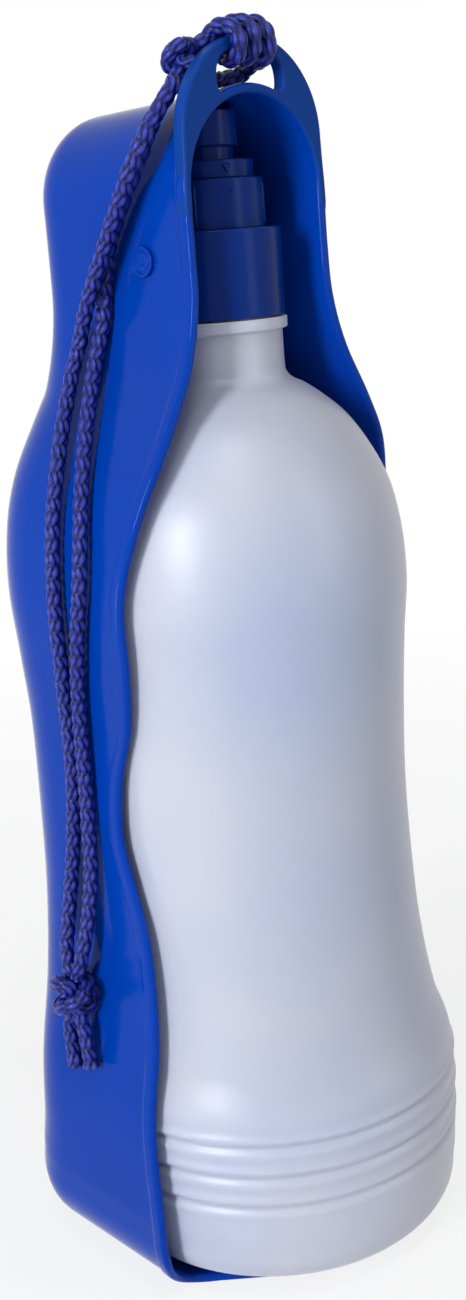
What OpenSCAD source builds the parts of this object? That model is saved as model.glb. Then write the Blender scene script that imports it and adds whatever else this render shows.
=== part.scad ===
// Dog travel water bottle: a squeeze bottle hung by its cap in a drinking trough, with a cord lanyard.
// Millimetres, Z up, front towards -Y. The origin is where the bottle's axis meets the trough's flat
// bottom end, which the product stands on.

/* [Trough] */
// Height of the pivot pins over the bottom end
pivot_h = 196.7; // [190:0.5:205]
// Wall of the trough
tray_wall = 1.4; // [1.2:0.1:1.8]
// Clearance between the bottle's base and the trough's flat back
back_gap = 1.1; // [0.8:0.1:7]
// Radius of the long back corners, outside
back_corner = 17.2; // [12:0.2:19]
// Radius of the edge between the flat back and the bottom end, outside
end_back_corner = 13.4; // [10:0.2:15]
// Radius of the two corners at the bottom end, seen from the front, inside
end_corner = 13; // [11:0.5:14]
// How much shallower the trough is behind its round head
head_back = 3.6; // [3:0.1:4.5]
// How far the side walls lean in between the rim and the back
wall_lean = 3; // [1.5:0.5:4]
// Depth of the thickened band along the rim
rim_band = 2.6; // [1.5:0.1:4]
// How far the band stands out from the wall
rim_step = 0.4; // [0.2:0.1:0.8]
// Half width of the trough round the cap, inside
head_half_w = 16; // [15.8:0.1:17]
// Radius of the round head of the trough, inside
arch_r = 16; // [15.5:0.1:17]

/* [Hanging tab] */
// Radius of the tab's round outline
tab_r = 17.2; // [16.5:0.1:18.5]
// Height of the tab over the trough's round head
tab_rise = 8.4; // [8:0.1:11]
// Thickness of the tab
tab_t = 2.5; // [2:0.1:3]
// Bar left over the lanyard slot
bar_h = 2; // [1.8:0.1:2.4]
// Width of the lanyard slot
slot_w = 16.4; // [15:0.2:19]

/* [Bottle] */
// Diameter of the ribbed base of the bottle
base_d = 75; // [73:0.5:75.5]
// Gap under the bottle inside the trough
base_gap = 2.7; // [2.6:0.1:4]
// Wall of the bottle
bottle_wall = 1; // [0.8:0.1:1.5]
// Diameter of the waist
waist_d = 61.2; // [56:0.5:62]
// Diameter of the shoulder bulge
bulge_d = 65.4; // [62:0.5:65.6]
// Diameter of the neck below the cap
neck_d = 24; // [23:0.2:25]
// Diameter of the neck inside the cap
finish_d = 21.2; // [20.4:0.2:21.6]
// Length of the neck inside the cap
finish_h = 11.2; // [10.6:0.1:11.4]
// Distance between two ribs of the base
rib_pitch = 6.4; // [5.5:0.1:7]
// Depth of the grooves between the ribs
groove_depth = 0.7; // [0.4:0.1:1]

/* [Cap and nozzle] */
// Outer diameter of the screw cap
cap_d = 25.6; // [25.4:0.2:27]
// Top face of the cap over the pivot
cap_rise = 4.5; // [4.2:0.1:4.8]
// Outer diameter of the valve housing
housing_d = 20.4; // [19:0.2:22]
// Height of the valve housing over the cap
housing_h = 8.7; // [8.2:0.1:9.2]
// Outer diameter of the turning collar under the nozzle
collar_d = 17.2; // [16:0.2:18]
// Height of that collar
collar_h = 3.2; // [2.8:0.1:3.6]
// Outer diameter of the nozzle
nozzle_d = 12.2; // [11:0.2:13]
// Height of the nozzle over its collar
nozzle_h = 8.6; // [8:0.1:8.8]
// Height of the groove between the collar and the nozzle's grip
nozzle_foot = 2.3; // [1.5:0.1:3]
// Bore of the nozzle
spout_d = 4.8; // [4:0.2:6]
// Diameter of the pivot pins
pin_d = 3.4; // [3:0.1:4]
// Diameter of the heads of the pivot pins
pin_head_d = 5.4; // [5:0.1:6]

/* [Lanyard] */
// Diameter of the braided cord
cord_d = 3; // [2.6:0.1:3.1]
// Distance between two turns round the bar
turn_pitch = 3.6; // [3.6:0.1:3.8]
// Diameter of the knot behind the tab
upper_knot_d = 6.8; // [6:0.2:7.2]
// Diameter of the knot at the lower end
lower_knot_d = 9; // [8:0.2:9.6]

/* [Fits] */
// Clearance all round between a pin and its hole, and between turning fits
run_fit = 0.05; // [0.03:0.01:0.1]
// Clearance between parts that pass each other
pass_gap = 0.3; // [0.2:0.05:0.5]
// Clearance between the cord's turns and the bar's flat faces
turn_gap = 0.5; // [0.45:0.05:0.8]

/* [Hidden] */
$fn = 96;

blue = [0.02, 0.22, 0.72];
navy = [0.06, 0.13, 0.45];
pearl = [0.86, 0.88, 0.93];
cord_blue = [0.16, 0.16, 0.62];
seal_grey = [0.55, 0.56, 0.58];

function smooth(a, b, t) = a + (b - a) * t * t * (3 - 2 * t);
function unit(v) = v / norm(v);
function last(v) = v[len(v) - 1];

// A smooth value at z through a list of [z, value] stations, flat beyond its ends
function slope_at(s, i) = i == 0 || i == len(s) - 1 ? 0
    : (s[i + 1][1] - s[i - 1][1]) / (s[i + 1][0] - s[i - 1][0]);
function span_of(s, z) = len([for (p = s) if (p[0] <= z) 1]) - 1;
function hermite(y0, y1, m0, m1, h, t) = (2 * t * t * t - 3 * t * t + 1) * y0
    + (t * t * t - 2 * t * t + t) * h * m0 + (3 * t * t - 2 * t * t * t) * y1 + (t * t * t - t * t) * h * m1;
function through(s, z) = z <= s[0][0] ? s[0][1] : z >= last(s)[0] ? last(s)[1]
    : let (i = span_of(s, z), h = s[i + 1][0] - s[i][0])
      hermite(s[i][1], s[i + 1][1], slope_at(s, i), slope_at(s, i + 1), h, (z - s[i][0]) / h);

// Bottle: levels over its base, and how it sits. Heights along the waist keep their share of pivot_h.
tall = pivot_h / 196.7;
base_z = tray_wall + base_gap;
base_r = base_d / 2;
waist_r = waist_d / 2;
bulge_r = bulge_d / 2;
neck_top_z = pivot_h - 11.5;
neck_r = neck_d / 2;
shoulder_z = neck_top_z - 11.2;
bulge_z = neck_top_z - 47.2;
rib_low_z = base_z + 19.2;
bead_h = 2;
bead_r = neck_r + 1;
finish_r = finish_d / 2;
foot_r = 7.5;
foot_in = 1.2;
foot_flat = base_r - foot_in - foot_r;

// The bottle's side from the base to the foot of the neck, as [height, radius]
side_stations = [
    [base_z + foot_r, base_r - foot_in], [base_z + 12, base_r - 0.4],
    [rib_low_z - rib_pitch / 2, base_r - 0.1],
    [rib_low_z + 2.5 * rib_pitch, base_r - 0.2], [48.5 * tall, base_r - 2.9],
    [63.5 * tall, waist_r + 1.6], [78.5 * tall, waist_r + 0.5], [95 * tall, waist_r],
    [110.5 * tall, waist_r + 0.4], [124.5 * tall, bulge_r - 0.9], [bulge_z - 2, bulge_r]];
shoulder_drop = [[0, 0], [6, 0.25], [12, 1.05], [18, 2.6], [24, 5.5], [30, 9.6], [34, 14],
                 [36.4, 17.4], [37.6, 19.6]];
groove_w = 2.2;
function groove(z) = let (k = round((z - rib_low_z) / rib_pitch), d = z - rib_low_z - k * rib_pitch)
    k < 0 || k > 2 || abs(d) > groove_w / 2 ? 0 : groove_depth * (1 + cos(360 * d / groove_w)) / 2;
function side_r(z) = through(side_stations, z) - groove(z);
function foot(n, r) = [for (i = [0 : n]) let (a = 90 * i / n)
    [foot_flat + r * sin(a), base_z + foot_r - r * cos(a)]];
shoulder_h = shoulder_z - bulge_z + 2;
shoulder_deep = bulge_r - neck_r - 1;
function shoulder() = [for (i = [0 : 25]) let (t = i / 25)
    [bulge_r - through(shoulder_drop, 37.6 * t) * shoulder_deep / 19.6, bulge_z - 2 + shoulder_h * t]];

// Cap stack: levels
cap_r = cap_d / 2;
cap_bottom = neck_top_z + pass_gap;
cap_top = pivot_h + cap_rise;
deck_t = 1.6;
cap_bore_r = finish_r + 2 * run_fit;
finish_top = neck_top_z + finish_h;
gasket_t = 1.4;
gasket_w = 2.1;
gasket_z = finish_top + run_fit;
housing_r = housing_d / 2;
housing_top = cap_top + housing_h;
deck_hole_r = housing_r - 0.7;
snap_z = cap_top - deck_t - run_fit;
stem_r = 4.9;
stem_rise = 4.1;
stem_bottom = cap_top + stem_rise;
bore_floor = 4;
port_rise = 4.5;
seal_t = 1.2;
port_r = 1;
port_reach = 2.7;
knob_z = housing_top + run_fit;
nozzle_z = knob_z + collar_h;
nozzle_top = nozzle_z + nozzle_h;
nozzle_foot_d = 10.4;
mark_rise = 0.8;
mark_h = 1.5;
ring_z = stem_bottom + 2.4;
ring_r = 0.5;
mark_turn = -19;

// Trough: its levels, and the inner edge of its rim as half widths and as the rim's place front to back
tray_back = base_r + back_gap + tray_wall;
arch_z = pivot_h + 10.9;
tab_top = arch_z + arch_r + tray_wall + tab_rise;
tab_front = -12.8;
side_gap = 1.4;
function head_to_bulge(f) = head_half_w + f * (bulge_r + side_gap - head_half_w);
rim_width = [
    [tray_wall + end_corner, base_r + side_gap + 0.8], [20 * tall, base_r + 2.4], [38 * tall, base_r + 1.1],
    [56 * tall, (base_r + waist_r) / 2 + 1.05], [74 * tall, waist_r + 2.3], [92 * tall, waist_r + 1.5],
    [110 * tall, waist_r + side_gap], [124 * tall, (waist_r + bulge_r) / 2 + side_gap + 0.05],
    [bulge_z - 1, bulge_r + side_gap], [bulge_z + 10, head_to_bulge(0.945)],
    [bulge_z + 20, head_to_bulge(0.785)], [bulge_z + 30, head_to_bulge(0.492)],
    [bulge_z + 40, head_to_bulge(0.188)],
    [bulge_z + 50, head_half_w + 0.5], [pivot_h + 0.3, head_half_w], [arch_z, head_half_w]];
rim_front = [
    [tray_wall + end_corner, -9.1], [20 * tall, -9.3], [38 * tall, -7.6], [56 * tall, -6.9],
    [74 * tall, -4.3], [84 * tall, -1],
    [93 * tall, 1.5], [104 * tall, 0.4], [116 * tall, -4.1], [bulge_z - 10, -6.2], [bulge_z + 2, -7.3],
    [bulge_z + 14, -10.7], [bulge_z + 26, -13.4], [bulge_z + 50, -13.2], [pivot_h + 3.3, -13],
    [arch_z + arch_r, -13]];
// The bottom end's rim comes forward in the middle: [half width, place front to back]
end_front = [[0, -24.6], [8, -24], [12.5, -22.7], [16, -20.8], [20, -17.6], [25, -13.1], [29, -10.2],
             [33, -9], [36.5, -8.9], [39.7, -9.1]];
arc_steps = 14;
side_steps = 30;
corner_steps = 7;
end_steps = 8;
spine_low = 32;
round_in = 2;
arch_lean = 0.55;

function corner_pt(i) = let (r = end_corner, a = -90 + 90 * i / corner_steps, w = rim_width[0][1])
    [w - r + r * cos(a), tray_wall + r + r * sin(a)];
function head_outline(z) = z > arch_z - 0.01 ? arch_r : through(rim_width, z);
function half_outline() = concat(
    [for (i = [0 : end_steps - 1]) [(corner_pt(0)[0]) * i / end_steps, tray_wall]],
    [for (i = [0 : corner_steps]) corner_pt(i)],
    [for (i = [1 : side_steps]) let (z = smooth(0, 1, i / side_steps) * 0.35 + 0.65 * i / side_steps,
        h = tray_wall + end_corner + (arch_z - tray_wall - end_corner) * z) [head_outline(h), h]],
    [for (i = [1 : arc_steps]) let (a = 90 * i / arc_steps) [arch_r * cos(a), arch_z + arch_r * sin(a)]]);
right_half = half_outline();
outline = concat(right_half,
    [for (i = [len(right_half) - 2 : -1 : 1]) [-right_half[i][0], right_half[i][1]]]);
outline_n = len(outline);

// Outward direction of the outline at station i, and the way in towards the trough's middle line
function nbr(i, k) = outline[(i + k + outline_n) % outline_n];
function outward(i) = let (d = unit(nbr(i, 1) - nbr(i, -1))) [d[1], -d[0]];
function middle(p) = [0, min(max(p[1], spine_low), arch_z)];
function inward(p) = unit(middle(p) - p);
function lean_dir(p) = let (d = inward(p)) [d[0], p[1] > arch_z ? arch_lean * d[1] : 0];
function room(p) = norm(middle(p) - p);
function rim_y(i) = let (p = outline[i]) p[1] < tray_wall + end_corner - 0.01
    ? through(end_front, abs(p[0]) * 37.5 / base_r) : through(rim_front, p[1]);
function back_at(i) = tray_back - head_back * smooth(0, 1, min(max((outline[i][1] - bulge_z - 12) / 40, 0), 1));

// One point of the trough's skin: station i, moved out by grow, then in by lean and by the rounding
function skin_pt(i, grow, y, inset) = let (p = outline[i], q = p + grow * outward(i),
    depth = back_at(i) - rim_y(i), lean = wall_lean * (y - rim_y(i)) / depth,
    s = q + lean * lean_dir(p) + inset * inward(p))
    [s[0], y, max(s[1], 0)];
function end_cut(p) = (back_corner - end_back_corner)
    * (1 - smooth(0, 1, min(max((p[1] - tray_wall) / (2 * end_corner), 0), 1)));
function bend_pt(i, grow, back, r, k) = let (a = 90 * k / 5,
    rr = min(r - end_cut(outline[i]), room(outline[i]) - wall_lean - round_in))
    skin_pt(i, grow, back - rr + rr * sin(a), rr * (1 - cos(a)));
function station(i) = concat(
    [for (k = [5 : -1 : 0]) bend_pt(i, 0, back_at(i) - tray_wall, back_corner - tray_wall, k)],
    [skin_pt(i, 0, rim_y(i) + 8, 0), skin_pt(i, 0, rim_y(i) + 0.5, 0), skin_pt(i, 0.5, rim_y(i), 0),
     skin_pt(i, tray_wall + rim_step - 0.5, rim_y(i), 0), skin_pt(i, tray_wall + rim_step, rim_y(i) + 0.5, 0),
     skin_pt(i, tray_wall + rim_step, rim_y(i) + rim_band, 0),
     skin_pt(i, tray_wall, rim_y(i) + rim_band + 0.3, 0), skin_pt(i, tray_wall, rim_y(i) + 8, 0)],
    [for (k = [0 : 5]) bend_pt(i, tray_wall, back_at(i), back_corner, k)]);
ring_n = len(station(0));

// Cord routes, chosen along the trough's left wall, whose points keep their share of its size
function on_wall(p) = [p[0] * base_r / 37.5, p[1], p[2] * tab_top / 233.4];
function on_wall_all(r) = [for (p = r) on_wall(p)];
rear_route = on_wall_all([
    [-14, -8.2, 225.4], [-16.5, -7.4, 222.2], [-19.2, -7, 219], [-21, -5.8, 215.3], [-21.6, -3.6, 211.8],
    [-21.4, -0.8, 208], [-21.2, 2.2, 204], [-21, 5.2, 199.8], [-21.1, 8, 195.4], [-21.2, 10.6, 191],
    [-20.6, 13.6, 186.6], [-20.8, 15.2, 182.4], [-22.4, 15.8, 178], [-25, 15, 173], [-28, 13.6, 168],
    [-31.4, 11.8, 161.4], [-33.8, 11, 154.5], [-35.4, 10.4, 147.5], [-36.2, 10.2, 140], [-36.2, 10.6, 133],
    [-35.5, 11.3, 126], [-34.9, 12.1, 119], [-34.5, 12.4, 112], [-34.3, 12.8, 105], [-34.4, 13.5, 97],
    [-34.6, 14.8, 88], [-35.2, 16, 80], [-36.4, 16.4, 73], [-38, 15.6, 68]]);
front_route = on_wall_all([
    [-10.2, -4.2, 226.2], [-12.2, -3.8, 223.6], [-14.6, -4.2, 221.4], [-17, -4.4, 218.2],
    [-18.6, -3.6, 214.6], [-19.2, -1.6, 211], [-19, 1.2, 207.6], [-18.6, 4.2, 204], [-18.2, 7.2, 199.8],
    [-17.9, 9.2, 195.4], [-17.9, 10.3, 191], [-18.6, 10.4, 186.6], [-20.2, 10.4, 182.4], [-22.4, 9.8, 178],
    [-25.2, 8.4, 173], [-28.6, 6.4, 167], [-31.8, 4.4, 160.6], [-34.2, 2.9, 154], [-35.9, 2, 147.6],
    [-36.8, 2.2, 141], [-36.7, 3.7, 134.6], [-36.1, 5.5, 128.4], [-35.4, 7.2, 121.6], [-34.9, 8.3, 114.4],
    [-34.7, 8.7, 107], [-34.7, 8.9, 100], [-34.9, 9, 93], [-35.2, 9, 87], [-35.8, 9.3, 81],
    [-36.8, 9.8, 75], [-38.2, 10.6, 69]]);
upper_knot_at = on_wall([-9.8, -6.6, 229.6]);
lower_knot_at = on_wall([-39.4, 13, 60.6]);
rear_tail = on_wall_all([[-39.4, 15.2, 53], [-39.4, 15.2, 49], [-39.4, 14.8, 44.5]]);
front_tail = on_wall_all([[-39.4, 10.8, 53], [-39.5, 10.2, 49.6], [-39.5, 9.6, 46]]);
// The last turn runs back to the knot behind the tab
wrap_back = on_wall_all([[4.3, -8.6, 228.4], [4.3, -6.8, 227.5], [3, -5.4, 227], [0.8, -4.8, 226.7],
                         [-1.8, -4.7, 226.8], [-4.2, -4.9, 227.3]]);

// Where a cord that heads for p leaves a knot's surface
cord_touch = 0.05;
function leave(knot, d, p) = knot + (d / 2 + cord_touch) * unit(p - knot);
function from_upper(p) = leave(upper_knot_at, upper_knot_d, p);
function from_lower(p) = leave(lower_knot_at, lower_knot_d, p);

// Turns round the bar: an oval helix along its arc, with an end at each side of the knot
cord_r = cord_d / 2;
wrap_turn = 960;
wrap_y = tab_front + tab_t / 2;
wrap_a = tab_t / 2 + cord_r + turn_gap;
wrap_b = bar_h / 2 + cord_r + turn_gap;
function bar_z(x) = tab_top - tab_r + sqrt((tab_r - bar_h / 2) ^ 2 - x ^ 2);
wrap_x0 = -5.6;
wrap_from = 40;
loop_rings = 24;
function wrap_pt(a) = let (x = wrap_x0 + turn_pitch * (a - wrap_from) / 360)
    [x, wrap_y + wrap_a * cos(a), bar_z(x) + wrap_b * sin(a)];

function wrap_route() = let (turns = [for (i = [0 : loop_rings * wrap_turn / 360])
        wrap_pt(wrap_from + 360 * i / loop_rings)])
    concat([from_upper(turns[0])], turns, wrap_back, [from_upper(last(wrap_back))]);
function gap_to_itself(r, apart) = min([for (i = [0 : len(r) - 1 - apart], j = [i + apart : len(r) - 1])
    norm(r[i] - r[j])]) - cord_d;
echo(str("least gap between the turns, mm: ", gap_to_itself(wrap_route(), 12)));

// A round tube swept along a route
function tangent(r, i) = unit(r[min(i + 1, len(r) - 1)] - r[max(i - 1, 0)]);
function side_dir(t, up) = unit(cross(t, up));
function tube_ring(r, i, rad, n, up) = let (t = tangent(r, i), u = side_dir(t, up), v = cross(t, u))
    [for (k = [0 : n - 1]) let (a = 360 * (k + 0.5) / n) r[i] + rad * (cos(a) * u + sin(a) * v)];
module tube(r, rad, n, up) {
    pts = [for (i = [0 : len(r) - 1]) each tube_ring(r, i, rad, n, up)];
    sides = [for (i = [0 : len(r) - 2], k = [0 : n - 1]) let (a = i * n + k, b = i * n + (k + 1) % n)
        each [[a, b + n, b], [a, a + n, b + n]]];
    ends = [[for (k = [0 : n - 1]) k], [for (k = [n - 1 : -1 : 0]) (len(r) - 1) * n + k]];
    polyhedron(pts, concat(sides, ends), 4);
}

module lathe(points) {
    rotate_extrude($fn = 128) polygon(points);
}

module x_rod(r, x0, x1) {
    translate([x0, 0, pivot_h]) rotate([0, 90, 0]) cylinder(r = r, h = x1 - x0);
}

// Triangles that close the flat back: a fan at the bottom end, then strips from side to side.
// Index outline_n stands for the middle of the fan.
fan_end = len([for (p = right_half) if (p[1] < spine_low) 1]);
half_n = len(right_half) - 1;
function back_faces() = concat(
    [for (i = [-fan_end : fan_end - 1])
        [(i + outline_n) % outline_n, (i + 1 + outline_n) % outline_n, outline_n]],
    [[fan_end, outline_n - fan_end, outline_n]],
    [for (i = [fan_end : half_n - 2])
        each [[i, i + 1, outline_n - i - 1], [i, outline_n - i - 1, outline_n - i]]],
    [[half_n - 1, half_n, half_n + 1]]);

module tray_shell() {
    pts = [for (i = [0 : outline_n - 1]) each station(i)];
    skin = [for (i = [0 : outline_n - 1], k = [0 : ring_n - 2])
        let (a = i * ring_n + k, b = ((i + 1) % outline_n) * ring_n + k)
        each [[a, b + 1, a + 1], [a, b, b + 1]]];
    middles = [[0, tray_back - tray_wall, spine_low], [0, tray_back, spine_low]];
    back_out = [for (f = back_faces()) [for (i = f) i < outline_n ? i * ring_n + ring_n - 1 : len(pts) + 1]];
    back_in = [for (f = back_faces()) [for (k = [2 : -1 : 0]) f[k] < outline_n ? f[k] * ring_n : len(pts)]];
    polyhedron(concat(pts, middles), concat(skin, back_in, back_out), 4);
}

module lanyard_slot() {
    top_r = tab_r - bar_h;
    low_r = arch_r + tray_wall;
    centre_z = tab_top - tab_r;
    intersection() {
        difference() {
            translate([0, centre_z]) circle(r = top_r);
            translate([0, arch_z]) circle(r = low_r);
        }
        translate([-slot_w / 2, arch_z]) square([slot_w, tab_r * 2]);
    }
}

module tab_outline() {
    difference() {
        union() {
            translate([0, tab_top - tab_r]) circle(r = tab_r);
            translate([-tab_r, arch_z]) square([2 * tab_r, tab_top - tab_r - arch_z]);
        }
        translate([0, arch_z]) circle(r = arch_r + tray_wall / 2);
        lanyard_slot();
    }
}

module tray() {
    pad_r = 3.6;
    pad_in = head_half_w - 1;
    pad_out = head_half_w + tray_wall - wall_lean * 0.15;
    color(blue) difference() {
        union() {
            tray_shell();
            translate([0, tab_front + tab_t, 0]) rotate([90, 0, 0]) linear_extrude(tab_t) tab_outline();
            for (s = [-1, 1]) x_rod(pad_r, s > 0 ? pad_in : -pad_out, s > 0 ? pad_out : -pad_in);
        }
        x_rod(pin_d / 2 + run_fit, -pad_out - 5, pad_out + 5);
    }
}

module bottle() {
    w = bottle_wall;
    dent = 1.5;
    rib_deep = groove_depth + 0.1;
    side_z = [for (i = [1 : 60]) base_z + foot_r + (bulge_z - 2 - base_z - foot_r) * i / 60];
    dome = [for (p = shoulder()) if (p[1] > bulge_z - 1) p];
    outer = concat([[0, base_z + dent], [foot_flat - 2.6, base_z + dent], [foot_flat - 1.8, base_z]],
        foot(8, foot_r), [for (z = side_z) [side_r(z), z]], dome,
        [[neck_r + 0.3, shoulder_z + 0.5], [neck_r, shoulder_z + 1.6], [neck_r, neck_top_z - bead_h - 0.4],
         [bead_r, neck_top_z - bead_h], [bead_r, neck_top_z], [finish_r, neck_top_z],
         [finish_r, finish_top - 0.4], [finish_r - 0.4, finish_top]]);
    inner = concat([[0, base_z + dent + w], [foot_flat - 2, base_z + dent + w]],
        [for (p = foot(8, foot_r - w)) if (p[1] > base_z + w + 0.3) p],
        [for (z = side_z) if (z > base_z + foot_r + 1)
            [through(side_stations, z) - w - (z < rib_low_z + 3 * rib_pitch ? rib_deep : 0), z]],
        [for (i = [1 : len(dome) - 2]) let (t = unit(dome[i + 1] - dome[i - 1])) dome[i] + w * [-t[1], t[0]]],
        [[neck_r - w, shoulder_z], [neck_r - w, neck_top_z - 2], [finish_r - 1.8, neck_top_z],
         [finish_r - 1.8, finish_top]]);
    color(pearl) lathe(concat(outer, [for (i = [len(inner) - 1 : -1 : 0]) inner[i]]));
}

module cap() {
    boss_r = 3.2;
    boss_end = head_half_w - 1 - pass_gap;
    color(navy) difference() {
        union() {
            lathe([[0, cap_bottom], [cap_r, cap_bottom], [cap_r, cap_top - 0.6], [cap_r - 0.6, cap_top],
                   [0, cap_top]]);
            x_rod(boss_r, -boss_end, boss_end);
        }
        translate([0, 0, cap_bottom - 1])
            cylinder(r = cap_bore_r, h = cap_top - deck_t - cap_bottom + 1);
        translate([0, 0, cap_bottom]) cylinder(r = deck_hole_r + run_fit, h = cap_top);
        for (s = [-1, 1]) x_rod(pin_d / 2, s > 0 ? cap_bore_r + 0.4 : -boss_end - 1,
                                s > 0 ? boss_end + 1 : -cap_bore_r - 0.4);
    }
}

module port_pair(z0, z1, turn) {
    for (a = [0, 180]) rotate([0, 0, a + turn]) translate([port_reach, 0, z0])
        cylinder(r = port_r, h = z1 - z0, $fn = 32);
}

module valve_housing() {
    floor_t = 1.8;
    floor_z = stem_bottom - seal_t - 2 * run_fit - floor_t;
    grip_n = 4;
    color(navy) difference() {
        union() {
            lathe([[0, snap_z - 0.7], [deck_hole_r - 0.3, snap_z - 0.7], [deck_hole_r + 0.3, snap_z],
                   [deck_hole_r, snap_z], [deck_hole_r, cap_top + run_fit], [housing_r, cap_top + run_fit],
                   [housing_r, housing_top - 0.5], [housing_r - 0.5, housing_top], [0, housing_top]]);
            for (i = [0 : grip_n - 1]) rotate([0, 0, 90 * i + 32])
                translate([0, housing_r - 0.15, cap_top + 0.4])
                cylinder(r = 0.5, h = housing_h - 1.4, $fn = 24);
            rotate([0, 0, mark_turn]) translate([0, -housing_r + 0.3, housing_top - 2.2]) rotate([90, 0, 0])
                cylinder(r = 0.4, h = 0.5, $fn = 24);
        }
        translate([0, 0, floor_z + floor_t]) cylinder(r = stem_r + run_fit, h = housing_h);
        translate([0, 0, snap_z - 1]) cylinder(r = deck_hole_r - 1.6, h = floor_z - snap_z + 1);
        port_pair(floor_z - 1, floor_z + floor_t + 1, 0);
    }
}

module valve_seal() {
    color(seal_grey) translate([0, 0, stem_bottom - seal_t - run_fit]) difference() {
        cylinder(r = stem_r - 0.1, h = seal_t);
        port_pair(-1, seal_t + 1, 0);
    }
}

module nozzle_knob() {
    color(navy) difference() {
        union() {
            lathe([[0, stem_bottom], [stem_r, stem_bottom], [stem_r, knob_z], [collar_d / 2, knob_z],
                   [collar_d / 2, nozzle_z - 0.5], [collar_d / 2 - 0.5, nozzle_z], [nozzle_foot_d / 2, nozzle_z],
                   [nozzle_foot_d / 2, nozzle_z + nozzle_foot], [nozzle_d / 2 - 0.3, nozzle_z + nozzle_foot],
                   [nozzle_d / 2, nozzle_z + nozzle_foot + 0.3], [nozzle_d / 2, nozzle_top - 0.4],
                   [nozzle_d / 2 - 0.4, nozzle_top], [0, nozzle_top]]);
            rotate([0, 0, mark_turn]) translate([0, -collar_d / 2 + 0.6, knob_z + mark_rise]) rotate([90, 0, 0])
                linear_extrude(0.9) polygon([[0, 0], [0.6 * mark_h, mark_h], [-0.6 * mark_h, mark_h]]);
        }
        translate([0, 0, stem_bottom + bore_floor]) cylinder(r = spout_d / 2, h = nozzle_top);
        port_pair(stem_bottom - 1, stem_bottom + port_rise, 90);
        translate([0, 0, ring_z - ring_r]) difference() {
            cylinder(r = stem_r + 1, h = 2 * ring_r);
            translate([0, 0, -1]) cylinder(r = stem_r - 2 * ring_r + 0.05, h = 4);
        }
    }
}

module nozzle_oring() {
    color(seal_grey) translate([0, 0, ring_z]) rotate_extrude($fn = 96)
        translate([stem_r - ring_r + run_fit, 0]) circle(r = ring_r - run_fit / 2, $fn = 24);
}

module collar_gasket() {
    color(seal_grey) translate([0, 0, gasket_z]) difference() {
        cylinder(r = finish_r - 0.1, h = gasket_t - 2 * run_fit);
        translate([0, 0, -1]) cylinder(r = finish_r - 0.1 - gasket_w, h = gasket_t + 2);
    }
}

module pivot_pin(s) {
    head_t = 0.6;
    head_x = head_half_w + tray_wall - wall_lean * 0.15 + pass_gap;
    tip_x = cap_bore_r + 0.5;
    color(navy) mirror([s < 0 ? 1 : 0, 0, 0]) difference() {
        union() {
            x_rod(pin_d / 2, tip_x, head_x + head_t / 2);
            x_rod(pin_head_d / 2, head_x, head_x + head_t);
        }
        x_rod(0.6, head_x + head_t - 0.25, head_x + head_t + 1);
    }
}

module upper_knot() {
    r = upper_knot_d / 2;
    color(cord_blue) translate(upper_knot_at) sphere(r = r, $fn = 48);
}

module lower_knot() {
    r = lower_knot_d / 2;
    color(cord_blue) translate(lower_knot_at) sphere(r = r, $fn = 48);
}

module lanyard_wrap() {
    color(cord_blue) tube(wrap_route(), cord_r, 6, [1, 0, 0.2]);
}

module strand(route) {
    ends = concat([from_upper(route[0])], route, [from_lower(last(route))]);
    color(cord_blue) tube(ends, cord_r, 8, [1, 0, 0]);
}

module tail(route) {
    color(cord_blue) tube(concat([from_lower(route[0])], route), cord_r, 8, [1, 0, 0]);
}

tray();
bottle();
cap();
valve_housing();
nozzle_knob();
nozzle_oring();
valve_seal();
collar_gasket();
pivot_pin(-1);  // pivot_pin_left
pivot_pin(1);  // pivot_pin_right
lanyard_wrap();
upper_knot();  // lanyard_upper_knot
strand(rear_route);  // lanyard_strand_rear
strand(front_route);  // lanyard_strand_front
lower_knot();  // lanyard_lower_knot
tail(rear_tail);  // lanyard_tail_rear
tail(front_tail);  // lanyard_tail_front
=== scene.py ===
import bmesh
import bpy
import numpy as np
from mathutils import Matrix


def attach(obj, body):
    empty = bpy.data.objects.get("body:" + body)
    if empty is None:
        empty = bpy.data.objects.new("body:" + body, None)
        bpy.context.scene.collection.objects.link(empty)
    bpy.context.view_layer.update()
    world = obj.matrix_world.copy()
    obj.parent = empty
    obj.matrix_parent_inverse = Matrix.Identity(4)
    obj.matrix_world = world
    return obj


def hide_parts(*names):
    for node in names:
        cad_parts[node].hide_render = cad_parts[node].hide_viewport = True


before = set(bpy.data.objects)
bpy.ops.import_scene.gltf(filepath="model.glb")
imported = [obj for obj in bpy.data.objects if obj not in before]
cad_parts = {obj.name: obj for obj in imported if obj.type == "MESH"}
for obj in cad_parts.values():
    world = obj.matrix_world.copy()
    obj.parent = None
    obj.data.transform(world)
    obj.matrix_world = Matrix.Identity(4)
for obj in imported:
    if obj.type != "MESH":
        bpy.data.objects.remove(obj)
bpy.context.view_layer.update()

# Camera: front left of the bottle and a little above its middle, with a long lens that leans slightly.
# Its place, heading, tilt and lean were fitted to the outlines of the trough and the bottle.
heading, tilt, lean_over = np.radians([43.878, -14.646, -4.346])
camera_at = [-0.20939, -0.21540, 0.20050]
look = np.array([np.sin(heading) * np.cos(tilt), np.cos(heading) * np.cos(tilt), np.sin(tilt)])
level = np.array([np.cos(heading), -np.sin(heading), 0.0])
rise = np.cross(level, look)
across = np.cos(lean_over) * level + np.sin(lean_over) * rise
upward = -np.sin(lean_over) * level + np.cos(lean_over) * rise
camera_data = bpy.data.cameras.new("camera")
film_width, focal_px, picture_px = 36, 1593.22, 1300
camera_data.sensor_width = film_width
camera_data.lens = focal_px / picture_px * film_width
camera_data.clip_start = 0.01
camera = bpy.data.objects.new("camera", camera_data)
bpy.context.scene.collection.objects.link(camera)
turn = np.eye(4)
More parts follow.
